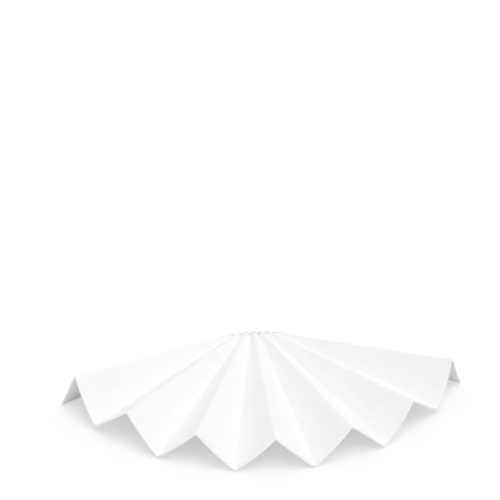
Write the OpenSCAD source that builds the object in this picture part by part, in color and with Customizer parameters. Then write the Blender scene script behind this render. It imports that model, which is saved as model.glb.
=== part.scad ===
// Fluted filter paper: one round sheet folded in half, pleated into flutes and
// opened out into a fan that stands on its valley folds. The half-fold runs
// down both ends of the fan and through the gathered row at its apex, so the
// two halves lie one in the other and are open only at the round rim.

/* [Sheet] */
// Diameter of the flat round sheet
disc_d = 125; // [90:1:185]
// Thickness of the paper
paper_t = 0.19; // [0.12:0.01:0.26]
// Gap between the two halves of the folded sheet
ply_gap = 0.10; // [0.06:0.01:0.16]
// Inside radius of the inner half at a pleat's fold
fold_r = 0.10; // [0.06:0.01:0.3]
// The same at the outer end of a valley, where the fold has sprung open
valley_r = 0.55; // [0.1:0.05:1]

/* [Flutes] */
// How far each flute is closed, left to right: 0 lies flat and 1 is folded shut
flute_closure = [0.89, 0.76, 0.70, 0.69, 0.70, 0.71, 0.88]; // [0.4:0.01:0.93]
// Height above the table of each valley's outer end, where its two panels would meet, left to right
valley_lift = [0, 1.6, 0.3, 0, 0, 0, 1.4, 0.2]; // [0:0.1:3]

/* [Gather] */
// Spacing of neighbouring folds in the gathered row at the apex
gather_pitch = 1.03; // [0.9:0.01:2]
// Height of the middle ridge above the valleys in the gathered row; the row falls to its ends
gather_rise = 1.1; // [0.6:0.1:1.2]
// How far the gathered row bends round with the fan: 0 is a straight row
gather_bend = 0.1; // [0:0.05:0.6]
// How far the crushed row is drawn in from the sheet's centre towards the rim
gather_in = 1.4; // [0:0.1:4]

/* [Hidden] */

// Flat steps along a panel, round a pleat's fold and round the half-fold
panel_steps = 3;
fold_steps = 4;
hem_steps = 3;
// Rings from the gathered row (0) to the rim (1), closer where the panels twist
ring_at = [0, 0.05, 0.2, 0.5, 1];

disc_r = disc_d / 2;
panels = 2 * len(flute_closure);
panel_angle = 180 / panels;
// Half of the folded sheet's whole thickness
half_t = ply_gap / 2 + paper_t;

function unit(v) = v / norm(v);
function is_ridge(i) = i % 2 == 1;
function span_angle(a, b) = acos(min(1, a * b));

// Folds are numbered from the left end edge (0) to the right end edge (panels).
// tilt: a fold's climb from the table. Both halves of a flute keep their flat
// angle between folds, which sets how far apart the folds stand in plan.
tilt = [for (i = [0:panels])
    is_ridge(i) ? flute_closure[(i - 1) / 2] * panel_angle : asin(valley_lift[i / 2] / disc_r)];
function plan_step(i) = acos(
    (cos(panel_angle) - sin(tilt[i]) * sin(tilt[i + 1])) / (cos(tilt[i]) * cos(tilt[i + 1])));
function plan_from_left(i) = i == 0 ? 0 : plan_from_left(i - 1) + plan_step(i - 1);
plan_angle = [for (i = [0:panels]) plan_from_left(i) - plan_from_left(panels) / 2];
fold_dir = [for (i = [0:panels])
    [cos(tilt[i]) * sin(plan_angle[i]), -cos(tilt[i]) * cos(plan_angle[i]), sin(tilt[i])]];

// foot: each fold's inner end, in the gathered row, which is highest in its middle
function row_step(i) = let (turn = gather_bend * (plan_angle[i] + plan_angle[i + 1]) / 2)
    gather_pitch * [cos(turn), sin(turn)];
function row_from_left(i) = i == 0 ? [0, 0] : row_from_left(i - 1) + row_step(i - 1);
foot = [for (i = [0:panels]) let (at = row_from_left(i) - row_from_left(panels / 2))
    [at.x, at.y - gather_in, is_ridge(i) ? gather_rise * (1 - pow(2 * i / panels - 1, 2)) : 0]];

// The middle of the folded sheet: s runs from the row (0) to the rim (1), and
// f across panel p. A panel's rim is an arc of the sheet's own radius.
function panel_dir(p, f) =
    (sin((1 - f) * panel_angle) * fold_dir[p] + sin(f * panel_angle) * fold_dir[p + 1])
    / sin(panel_angle);
function panel_foot(p, f) = (1 - f) * foot[p] + f * foot[p + 1];
function panel_run(p, f) = disc_r * panel_dir(p, f) - panel_foot(p, f);
function panel_point(p, f, s) = panel_foot(p, f) + s * panel_run(p, f);
function panel_chord(p, s) = panel_point(p, 1, s) - panel_point(p, 0, s);
function panel_normal(p, f, s) = unit(cross(panel_run(p, f), panel_chord(p, s)));

// A station is one place across the fan on one ring: its point on the sheet's
// middle, the sheet's normal there and the way from the rim towards the row.
function flat_station(p, f, s) =
    [panel_point(p, f, s), panel_normal(p, f, s), -unit(panel_run(p, f))];

// A pleat's fold is an arc between two panels, tangent to both. mid_r is the
// radius of the sheet's middle there; a valley opens out towards the rim.
function mid_r(i, s) = half_t + (is_ridge(i) ? fold_r : fold_r + s * (valley_r - fold_r));
function bend(i, s) = span_angle(panel_normal(i - 1, 1, s), panel_normal(i, 0, s));
function setback(i, s) = mid_r(i, s) * tan(bend(i, s) / 2);
function width_at(p, f, s) = norm(cross(unit(panel_run(p, f)), panel_chord(p, s)));
function flat_from(p, s) = p == 0 ? 0 : setback(p, s) / width_at(p, 0, s);
function flat_to(p, s) = p == panels - 1 ? 1 : 1 - setback(p + 1, s) / width_at(p, 1, s);
function turned(a, b, whole, t) = (sin((1 - t) * whole) * a + sin(t * whole) * b) / sin(whole);
function fold_station(i, t, s) =
    let (
        before = flat_station(i - 1, flat_to(i - 1, s), s),
        after = flat_station(i, flat_from(i, s), s),
        radius = is_ridge(i) ? mid_r(i, s) : -mid_r(i, s),
        normal = turned(before[1], after[1], span_angle(before[1], after[1]), t),
        from_before = before[0] + radius * (normal - before[1]),
        from_after = after[0] + radius * (normal - after[1])
    )
    [(1 - t) * from_before + t * from_after, normal, unit((1 - t) * before[2] + t * after[2])];

function stations(s) = [for (p = [0:panels - 1]) each concat(
    p == 0 ? [] : [for (k = [1:fold_steps - 1]) fold_station(p, k / fold_steps, s)],
    [for (k = [0:panel_steps]) let (share = k / panel_steps)
        flat_station(p, (1 - share) * flat_from(p, s) + share * flat_to(p, s), s)]
)];

// The half-fold is a half-round hem. reach is the way out of the sheet there:
// sideways at the two ends, and mitred with the row's own way out in the corners.
hems = hem_steps - 1;
function hem_point(station, reach, h, k) = let (turn = 180 * k / hem_steps)
    station[0] + h * (cos(turn) * station[1] + sin(turn) * reach);
function left_reach(station, s) = cross(-station[2], station[1]) + (s == 0 ? station[2] : [0, 0, 0]);
function right_reach(station, s) = cross(station[1], -station[2]) + (s == 0 ? station[2] : [0, 0, 0]);

// A skin is the sheet's surface h away from its middle: one closed loop of
// points round the fan at each ring, and the hem along the row.
function skin_loop(row, s, h) = let (last = len(row) - 1) concat(
    [for (place = row) place[0] + h * place[1]],
    [for (k = [1:hems]) hem_point(row[last], right_reach(row[last], s), h, k)],
    [for (u = [last:-1:0]) row[u][0] - h * row[u][1]],
    [for (k = [hems:-1:1]) hem_point(row[0], left_reach(row[0], s), h, k)]
);
function row_hem(row, h) =
    [for (u = [1:len(row) - 2]) for (k = [1:hems]) hem_point(row[u], row[u][2], h, k)];
rows = [for (s = ring_at) stations(s)];
across = len(rows[0]);
loop = 2 * across + 2 * hems;
rings = len(ring_at);
function skin(h) = concat(
    [for (r = [0:rings - 1]) each skin_loop(rows[r], ring_at[r], h)],
    row_hem(rows[0], h)
);
sheet_points = concat(skin(half_t), skin(ply_gap / 2));
skin_size = rings * loop + (across - 2) * hems;

// Faces, clockwise from outside. The slit between the halves is the second skin, inside out.
function quad(a, b, c, d) = [[a, b, c], [a, c, d]];
function flipped(faces) = [for (face = faces) [face[2], face[1], face[0]]];
function loop_at(r, j) = r * loop + j % loop;
function hem_at(u, k) =
    k == 0 ? u
    : k == hem_steps ? loop - hems - 1 - u
    : u == 0 ? loop - k
    : u == across - 1 ? across + k - 1
    : rings * loop + (u - 1) * hems + k - 1;
skin_faces = [
    for (r = [0:rings - 2]) for (j = [0:loop - 1])
        each quad(loop_at(r, j), loop_at(r, j + 1), loop_at(r + 1, j + 1), loop_at(r + 1, j)),
    for (u = [0:across - 2]) for (k = [0:hem_steps - 1])
        each quad(hem_at(u, k), hem_at(u, k + 1), hem_at(u + 1, k + 1), hem_at(u + 1, k))
];
rim_faces = [for (j = [0:loop - 1]) each quad(
    loop_at(rings - 1, j), loop_at(rings - 1, j + 1),
    skin_size + loop_at(rings - 1, j + 1), skin_size + loop_at(rings - 1, j))];
function shifted(faces, by) = [for (face = faces) [for (i = face) i + by]];
sheet_faces = concat(skin_faces, rim_faces, flipped(shifted(skin_faces, skin_size)));

// The fan stands on the table with its box's centre over the origin
function lowest(axis) = min([for (p = sheet_points) p[axis]]);
function highest(axis) = max([for (p = sheet_points) p[axis]]);
stand_at = [-(lowest(0) + highest(0)) / 2, -(lowest(1) + highest(1)) / 2, -lowest(2)];

module filter_paper() {
    color("white")
        translate(stand_at)
            polyhedron(points = sheet_points, faces = sheet_faces);
}

filter_paper();
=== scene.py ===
import math

import bpy
import numpy as np
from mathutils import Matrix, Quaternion, Vector, noise


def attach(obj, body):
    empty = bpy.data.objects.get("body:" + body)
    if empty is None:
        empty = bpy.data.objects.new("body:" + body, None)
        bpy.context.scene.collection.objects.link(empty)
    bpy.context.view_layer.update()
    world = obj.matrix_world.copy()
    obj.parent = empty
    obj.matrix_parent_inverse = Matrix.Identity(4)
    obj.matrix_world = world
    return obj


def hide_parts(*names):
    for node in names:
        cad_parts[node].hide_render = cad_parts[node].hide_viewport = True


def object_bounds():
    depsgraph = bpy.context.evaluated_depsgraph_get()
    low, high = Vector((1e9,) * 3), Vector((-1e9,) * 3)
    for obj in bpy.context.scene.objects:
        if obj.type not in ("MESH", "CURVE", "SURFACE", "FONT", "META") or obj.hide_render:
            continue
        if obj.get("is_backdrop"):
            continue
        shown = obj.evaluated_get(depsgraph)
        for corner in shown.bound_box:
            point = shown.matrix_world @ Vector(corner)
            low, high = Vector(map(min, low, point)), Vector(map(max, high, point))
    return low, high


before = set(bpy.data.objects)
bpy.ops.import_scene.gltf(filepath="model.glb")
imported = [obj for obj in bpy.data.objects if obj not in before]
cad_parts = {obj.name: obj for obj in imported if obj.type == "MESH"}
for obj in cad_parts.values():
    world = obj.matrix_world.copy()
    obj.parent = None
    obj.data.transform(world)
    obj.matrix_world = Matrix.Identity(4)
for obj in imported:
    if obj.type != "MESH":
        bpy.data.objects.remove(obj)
cad_low, cad_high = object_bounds()

# ---------------------------------------------------------------- The folded sheet
# One round disc of soft, unsized filter paper. It is folded in half, pleated with
# both halves together into fourteen panels, and opened out a little. It rests on
# its two end folds and on the row at the apex where its folds are gathered.

MM = 0.001
DISC_R = 62.5 * MM
PAPER_T = 0.19 * MM
PLY_GAP = 0.10 * MM
FOLD_R = 0.10 * MM
VALLEY_R = 0.55 * MM
FLUTE_CLOSURE = (0.89, 0.76, 0.70, 0.69, 0.70, 0.71, 0.88)
VALLEY_LIFT = (0, 1.6, 0.3, 0, 0, 0, 1.4, 0.2)
GATHER_PITCH = 1.03 * MM
GATHER_RISE = 1.1 * MM
GATHER_BEND = 0.1
GATHER_IN = 1.4 * MM

# How far relaxed panels stand in from flat at the rim: the two end panels bow in
# between their folds, and the panels on the right that face left sag
END_BOW = 0.45 * MM
PANEL_SAG = 0.15 * MM
SAGGING_PANELS = (6, 8, 10, 12)

# How unevenly it has relaxed. Each panel billows between its folds by its own amount:
# the two steps are how far apart in the noise neighbouring panels are read, and the two
# ends of one panel. The whole sheet wanders over a long span.
BILLOW = 0.30 * MM
BILLOW_PANEL_STEP = 7.3
BILLOW_ALONG_STEP = 2.6
WANDER = 0.10 * MM
WANDER_SPAN = 16 * MM

# Unseeded, the noise that the sheet wanders and crumples by is another at every run
RELAX_SEED = 1
noise.seed_set(RELAX_SEED)

# The crushed apex: its lumps' height and span, and the share of the way to the rim over
# which they fade
CRUSH = 0.12 * MM
CRUSH_SPAN = 2.4 * MM
CRUSH_FADE = 0.08

# How far each half moves in from its place at the rim, where the gap all but closes
RIM_CLOSING = 0.04 * MM

PANELS = 2 * len(FLUTE_CLOSURE)
PANEL_ANGLE = math.pi / PANELS
PLY_OFF = (PLY_GAP + PAPER_T) / 2
HALF_T = PLY_GAP / 2 + PAPER_T

# The sheet's grid: strips across a panel, round a fold and round the half-fold's
# hem, and rings from the round rim to the gathered row at the disc's centre. A
# crowding of 1 would space the rings evenly, and a higher one draws them to the row.
PANEL_STRIPS = 16
FOLD_STRIPS = 8
HEM_STRIPS = 8
RINGS = 62
RING_CROWDING = 1.5
MERGE_WITHIN = 0.001 * MM


def is_ridge(i):
    return i % 2 == 1


def fold_tilt(i):
    if is_ridge(i):
        return FLUTE_CLOSURE[i // 2] * PANEL_ANGLE
    return math.asin(VALLEY_LIFT[i // 2] * MM / DISC_R)


def plan_step(i):
    """How far apart folds i and i + 1 stand in plan, with the panel between them flat."""
    a, b = fold_tilt(i), fold_tilt(i + 1)
    apart = math.cos(PANEL_ANGLE) - math.sin(a) * math.sin(b)
    return math.acos(apart / (math.cos(a) * math.cos(b)))


plan = [0.0]
for i in range(PANELS):
    plan.append(plan[i] + plan_step(i))
plan = [angle - plan[PANELS] / 2 for angle in plan]
fold_dirs = []
for i in range(PANELS + 1):
    level = math.cos(fold_tilt(i))
    fold_dirs.append(Vector((level * math.sin(plan[i]), -level * math.cos(plan[i]), math.sin(fold_tilt(i)))))

feet = [Vector((0, 0, 0))]
for i in range(PANELS):
    turn = GATHER_BEND * (plan[i] + plan[i + 1]) / 2
    feet.append(feet[i] + GATHER_PITCH * Vector((math.cos(turn), math.sin(turn), 0)))
row_middle = feet[PANELS // 2].copy()
for i, foot in enumerate(feet):
    foot -= row_middle
    foot.y -= GATHER_IN
    foot.z = GATHER_RISE * (1 - (2 * i / PANELS - 1) ** 2) if is_ridge(i) else 0


def panel_place(p, f, s):
    """The point and the run, row to rim, of panel p at share f across it and s along it."""
    foot = feet[p].lerp(feet[p + 1], f)
    rim = fold_dirs[p] * math.sin((1 - f) * PANEL_ANGLE) + fold_dirs[p + 1] * math.sin(f * PANEL_ANGLE)
    rim *= DISC_R / math.sin(PANEL_ANGLE)
    return foot.lerp(rim, s), (rim - foot).normalized()


def panel_chord(p, s):
    return panel_place(p, 1, s)[0] - panel_place(p, 0, s)[0]


def panel_station(p, f, s):
    """(point, normal, way towards the row) on panel p."""
    point, run = panel_place(p, f, s)
    return point, run.cross(panel_chord(p, s)).normalized(), -run


def fold_radius(i, s):
    """The radius of the sheet's middle round fold i. Valleys have sprung open towards the rim."""
    return HALF_T + FOLD_R + (0 if is_ridge(i) else s * (VALLEY_R - FOLD_R))


def fold_setback(i, s):
    """Where fold i's arc begins on the panels beside it."""
    bend = panel_station(i - 1, 1, s)[1].angle(panel_station(i, 0, s)[1])
    return fold_radius(i, s) * math.tan(bend / 2)


def flat_share(p, s):
    """The shares across panel p between which it is flat."""
    chord = panel_chord(p, s)
    first, last = 0.0, 1.0
    if p > 0:
        first = fold_setback(p, s) / panel_place(p, 0, s)[1].cross(chord).length
    if p < PANELS - 1:
        last = 1 - fold_setback(p + 1, s) / panel_place(p, 1, s)[1].cross(chord).length
    return first, last


def fold_station(i, t, s):
    """(point, normal, way towards the row) at share t round fold i's arc."""
    before = panel_station(i - 1, flat_share(i - 1, s)[1], s)
    after = panel_station(i, flat_share(i, s)[0], s)
    radius = fold_radius(i, s) if is_ridge(i) else -fold_radius(i, s)
    normal = before[1].slerp(after[1], t)
    from_before = before[0] + radius * (normal - before[1])
    from_after = after[0] + radius * (normal - after[1])
    return from_before.lerp(from_after, t), normal, before[2].lerp(after[2], t).normalized()


def ring_of_stations(s):
    """Every station from the left end to the right end. Each also has its place on the
    flat half disc, in panels, and its share across its panel's flat part, 0 on a fold."""
    row = []
    for p in range(PANELS):
        first, last = flat_share(p, s)
        if p > 0:
            fold_from = p - 1 + flat_share(p - 1, s)[1]
            for k in range(1, FOLD_STRIPS):
                t = k / FOLD_STRIPS
                across = (1 - t) * fold_from + t * (p + first)
                row.append((*fold_station(p, t, s), across, 0.0))
        for k in range(PANEL_STRIPS + 1):
            share = k / PANEL_STRIPS
            f = (1 - share) * first + share * last
            row.append((*panel_station(p, f, s), p + f, share))
    return row


def settled(station, s):
    """The station's point once the paper has relaxed and its apex has been crumpled."""
    point, normal, _, across, share = station
    p = min(int(across), PANELS - 1)
    bulge = math.sin(math.pi * share)
    read_at = Vector((BILLOW_PANEL_STEP * p, BILLOW_ALONG_STEP * s, 0))
    billow = BILLOW * s * bulge * noise.noise(read_at)
    if p in SAGGING_PANELS:
        billow -= PANEL_SAG * s * bulge
    if p in (0, PANELS - 1):
        billow -= END_BOW * s * bulge ** 2
    wander = WANDER * noise.noise_vector(point / WANDER_SPAN)
    crush = CRUSH * math.exp(-s / CRUSH_FADE) * noise.noise_vector(point / CRUSH_SPAN)
    return point + normal * billow + wander + crush


# A ring's share of the way from the row to the rim. Rings lie closer near the row.
ring_shares = [(1 - k / RINGS) ** RING_CROWDING for k in range(RINGS + 1)]
rings = [ring_of_stations(s) for s in ring_shares]
across_count = len(rings[0])
hem_count = HEM_STRIPS - 1
around = 2 * (across_count + hem_count)
hem_rings = HEM_STRIPS // 2


def folded_place(column, ring):
    """Where folding takes the grid's vertex, and its place on the flat disc in millimetres."""
    s = ring_shares[min(ring, RINGS)]
    row = rings[min(ring, RINGS)]
    turned_in = math.pi / 2 * max(0, ring - RINGS) / hem_rings
    right_hem = across_count
    lower = across_count + hem_count
    left_hem = lower + across_count
    if column < right_hem:
        station, hem_turn, side = row[column], 0.0, 1
    elif column < lower:
        station, hem_turn, side = row[-1], math.pi * (column - right_hem + 1) / HEM_STRIPS, 1
    elif column < left_hem:
        station, hem_turn, side = row[left_hem - 1 - column], math.pi, 1
    else:
        station, hem_turn, side = row[0], math.pi * (1 - (column - left_hem + 1) / HEM_STRIPS), -1
    _, normal, inward, across, _ = station
    sideways = side * inward.cross(normal)
    away = math.cos(hem_turn) * normal + math.sin(hem_turn) * sideways
    off = PLY_OFF - RIM_CLOSING * s
    place = settled(station, s) + off * (math.cos(turned_in) * away + math.sin(turned_in) * inward)
    angle = across * PANEL_ANGLE
    flat = Vector((s * math.cos(angle), s * math.sin(angle) * (1 if hem_turn < math.pi / 2 else -1), 0))
    from_ridge = abs(across - 2 * (across // 2) - 1) * s * DISC_R * PANEL_ANGLE / MM
    return place, flat * DISC_R / MM, from_ridge


# The flat disc, as rings inset from its rim
bpy.ops.object.select_all(action="DESELECT")
bpy.ops.mesh.primitive_circle_add(vertices=around, radius=DISC_R, fill_type="NGON")
sheet = bpy.context.object
sheet.name = "folded_sheet"
ring_step = DISC_R / (RINGS + hem_rings + 2)
bpy.ops.object.mode_set(mode="EDIT")
for ring in range(RINGS + hem_rings):
    bpy.ops.mesh.inset(thickness=ring_step)
bpy.ops.mesh.delete(type="ONLY_FACE")
bpy.ops.object.mode_set(mode="OBJECT")

# Folding it: each vertex knows its ring and its column from where it is on the flat disc
flat_places, ridge_distances = [], []
for vertex in sheet.data.vertices:
    column = round(math.atan2(vertex.co.y, vertex.co.x) / (2 * math.pi) * around) % around
    ring = round((DISC_R - vertex.co.length) / ring_step)
    vertex.co, flat_place, from_ridge = folded_place(column, ring)
    flat_places.extend(flat_place)
    ridge_distances.append(from_ridge)
sheet.data.attributes.new("flat_place", "FLOAT_VECTOR", "POINT").data.foreach_set("vector", flat_places)
sheet.data.attributes.new("from_ridge", "FLOAT", "POINT").data.foreach_set("value", ridge_distances)

# The fan stands where the CAD's sheet stands, with its box's centre over the origin
co = np.array([vertex.co for vertex in sheet.data.vertices])
low, high = Vector(co.min(0)), Vector(co.max(0))
shift = (cad_low + cad_high - low - high) / 2
shift.z = cad_low.z + PAPER_T / 2 - low.z
for vertex in sheet.data.vertices:
    vertex.co += shift

bpy.ops.object.mode_set(mode="EDIT")
bpy.ops.mesh.select_all(action="SELECT")
bpy.ops.mesh.remove_doubles(threshold=MERGE_WITHIN)
bpy.ops.object.mode_set(mode="OBJECT")
solidify = sheet.modifiers.new("paper", "SOLIDIFY")
solidify.thickness = PAPER_T
solidify.offset = 0
bpy.ops.object.modifier_apply(modifier=solidify.name)
bpy.ops.object.shade_smooth_by_angle(angle=math.radians(40))


def linear(hex_colour):
    """An sRGB hex colour as linear light, with alpha."""
    out = []
    for k in (1, 3, 5):
        c = int(hex_colour[k:k + 2], 16) / 255
        out.append(c / 12.92 if c <= 0.04045 else ((c + 0.055) / 1.055) ** 2.4)
    return (*out, 1.0)


def add_node(tree, kind, settings=None, inputs=None):
    """A node with its settings, and its inputs as values or as other nodes' outputs."""
    node = tree.nodes.new("ShaderNode" + kind)
    for name, value in (settings or {}).items():
        setattr(node, name, value)
    for name, value in (inputs or {}).items():
        if isinstance(value, bpy.types.NodeSocket):
            tree.links.new(value, node.inputs[name])
        else:
            node.inputs[name].default_value = value
    return node


paper = bpy.data.materials.new("matte_cellulose_filter_paper")
paper.use_nodes = True
tree = paper.node_tree
tree.nodes.clear()
# Every pattern lies on the flat disc in millimetres, so it was in the sheet before
# the sheet was folded.
flat = add_node(tree, "Attribute", {"attribute_name": "flat_place"}).outputs["Vector"]
# Look-through: cloudy patches about 3 mm across, where the pulp lies a little thicker
cloud = add_node(tree, "TexNoise", inputs={"Vector": flat, "Scale": 0.35, "Detail": 3.0, "Roughness": 0.6})
tint = add_node(tree, "Mix", {"data_type": "RGBA"},
                {"Factor": cloud.outputs["Fac"], 6: linear("#F3F3F3"), 7: linear("#F9F9F9")})
# Fibres: soft threads about 2 mm long and 0.2 mm wide, mostly along the paper machine's run
threads = add_node(tree, "Mapping", inputs={
    "Vector": flat, "Rotation": (0, 0, 0.5), "Scale": (0.5, 4.5, 1.0)})
fibre = add_node(tree, "TexNoise", inputs={
    "Vector": threads.outputs["Vector"], "Scale": 1.0, "Detail": 3.0, "Roughness": 0.55, "Distortion": 1.2})
# Grain: the felt-like tooth of the surface, about 0.45 mm and finer
grain = add_node(tree, "TexNoise", inputs={"Vector": flat, "Scale": 2.2, "Detail": 4.0, "Roughness": 0.7})
tooth = add_node(tree, "Math", {"operation": "ADD"}, {0: fibre.outputs["Fac"], 1: grain.outputs["Fac"]})
# Ridge folds: within 0.3 mm of a ridge fold the white is greyed a little, most at the fold
from_ridge = add_node(tree, "Attribute", {"attribute_name": "from_ridge"}).outputs["Fac"]
ridge_grey = add_node(tree, "MapRange", {"interpolation_type": "SMOOTHSTEP"},
                   {"Value": from_ridge, "From Min": 0.05, "From Max": 0.3, "To Min": 0.5, "To Max": 0.0})
ridge_greyed = add_node(tree, "Mix", {"data_type": "RGBA"},
                   {"Factor": ridge_grey.outputs["Result"], 6: tint.outputs[2], 7: linear("#E9E9E9")})
# The apex: painted shade darkens the white within 1.6 mm of the disc's centre, most towards the centre
from_centre = add_node(tree, "VectorMath", {"operation": "LENGTH"}, {0: flat}).outputs["Value"]
apex_shade = add_node(tree, "MapRange", {"interpolation_type": "SMOOTHSTEP"},
                   {"Value": from_centre, "From Min": 0.1, "From Max": 1.6, "To Min": 0.75, "To Max": 0.0})
apex_shaded = add_node(tree, "Mix", {"data_type": "RGBA"},
                {"Factor": apex_shade.outputs["Result"], 6: ridge_greyed.outputs[2], 7: linear("#D6D6D6")})
fuzz = add_node(tree, "Bump", inputs={"Strength": 0.25, "Distance": 0.00005, "Height": tooth.outputs[0]})
surface = add_node(tree, "BsdfPrincipled", inputs={
    "Base Color": apex_shaded.outputs[2], "Roughness": 0.92, "IOR": 1.47, "Specular IOR Level": 0.3,
    "Subsurface Weight": 0.4, "Subsurface Radius": (1.0, 1.0, 1.0), "Subsurface Scale": 0.0005,
    "Normal": fuzz.outputs["Normal"]})
add_node(tree, "OutputMaterial", inputs={"Surface": surface.outputs["BSDF"]})
sheet.data.materials.append(paper)

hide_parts("filter_paper")
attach(sheet, "root")

# ---------------------------------------------------------------- The table
# A plain white table top. It shows white to the camera and keeps the paper's shadow.


def seen_rays(tree):
    """1 for a ray from the camera, or by way of gloss or glass, and 0 for any other."""
    path = add_node(tree, "LightPath")
    straight = add_node(tree, "Math", {"operation": "MAXIMUM"},
                        {0: path.outputs["Is Camera Ray"], 1: path.outputs["Is Glossy Ray"]})
    seen = add_node(tree, "Math", {"operation": "MAXIMUM"},
                    {0: straight.outputs[0], 1: path.outputs["Is Transmission Ray"]})
    return seen.outputs[0]


bpy.ops.object.select_all(action="DESELECT")
bpy.ops.mesh.primitive_plane_add(size=8.0, location=(0, 0, cad_low.z))
floor = bpy.context.object
floor.name = "floor"
table = bpy.data.materials.new("white_table")
table.use_nodes = True
tree = table.node_tree
tree.nodes.clear()
matte = add_node(tree, "BsdfDiffuse", inputs={"Color": linear("#F7F7F7")})
# Seen rays find the table 43 % plain white, so that it shows white outside the paper's
# shadow. Light on its way to a matte surface finds the matte table alone.
share = add_node(tree, "Math", {"operation": "MULTIPLY"}, {0: seen_rays(tree), 1: 0.43})
white = add_node(tree, "Emission", inputs={"Color": (1, 1, 1, 1), "Strength": 1.0})
top = add_node(tree, "MixShader", inputs={0: share.outputs[0], 1: matte.outputs[0], 2: white.outputs[0]})
add_node(tree, "OutputMaterial", inputs={"Surface": top.outputs[0]})
floor.data.materials.append(table)
floor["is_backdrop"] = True

# ---------------------------------------------------------------- Light
# One broad soft light from above, a little to the right and in front, in a bright
# white room whose walls are brighter than its ceiling.

world = bpy.data.worlds.new("white_room")
bpy.context.scene.world = world
world.use_nodes = True
tree = world.node_tree
tree.nodes.clear()
# Seen rays find a plain white backdrop, and the rest find the room that lights the paper
seen = seen_rays(tree)
way = add_node(tree, "TexCoord").outputs["Generated"]
height = add_node(tree, "SeparateXYZ", inputs={0: way}).outputs["Z"]
glow = add_node(tree, "MapRange", inputs={
    "Value": height, "From Min": 0.0, "From Max": 1.0, "To Min": 0.88, "To Max": 0.59})
room = add_node(tree, "Background", inputs={"Color": (1, 1, 1, 1), "Strength": glow.outputs["Result"]})
backdrop = add_node(tree, "Background", inputs={"Color": (1, 1, 1, 1), "Strength": 1.0})
shown = add_node(tree, "MixShader", inputs={0: seen, 1: room.outputs[0], 2: backdrop.outputs[0]})
add_node(tree, "OutputWorld", inputs={"Surface": shown.outputs[0]})

bpy.ops.object.light_add(type="SUN", location=(0.21, -0.34, 1.35))
key = bpy.context.object
key.name = "key_light"
key.data.angle = math.radians(40)
key.data.energy = 1.37
key.rotation_euler = Vector(key.location).to_track_quat("Z", "Y").to_euler()

# ---------------------------------------------------------------- Camera
# A long lens, a little to the left of the fan's middle, looking down on it.

AZIMUTH, ELEVATION, ROLL = math.radians(-5.79), math.radians(30.44), math.radians(0.55)
DISTANCE_MM = 412.8
aim = Vector((3.74 * MM, 79.78 * MM, -0.3 * MM))
back = Vector((math.sin(AZIMUTH) * math.cos(ELEVATION),
               -math.cos(AZIMUTH) * math.cos(ELEVATION),
               math.sin(ELEVATION)))
bpy.ops.object.camera_add(location=aim + back * DISTANCE_MM * MM)
camera = bpy.context.object
camera.name = "camera"
camera.rotation_euler = (back.to_track_quat("Z", "Y") @ Quaternion((0, 0, 1), ROLL)).to_euler()
camera.data.lens = 90.84
camera.data.sensor_width = 36.0
camera.data.clip_start = 0.01
bpy.context.scene.camera = camera

bpy.context.scene.view_settings.view_transform = "Standard"

low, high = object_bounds()
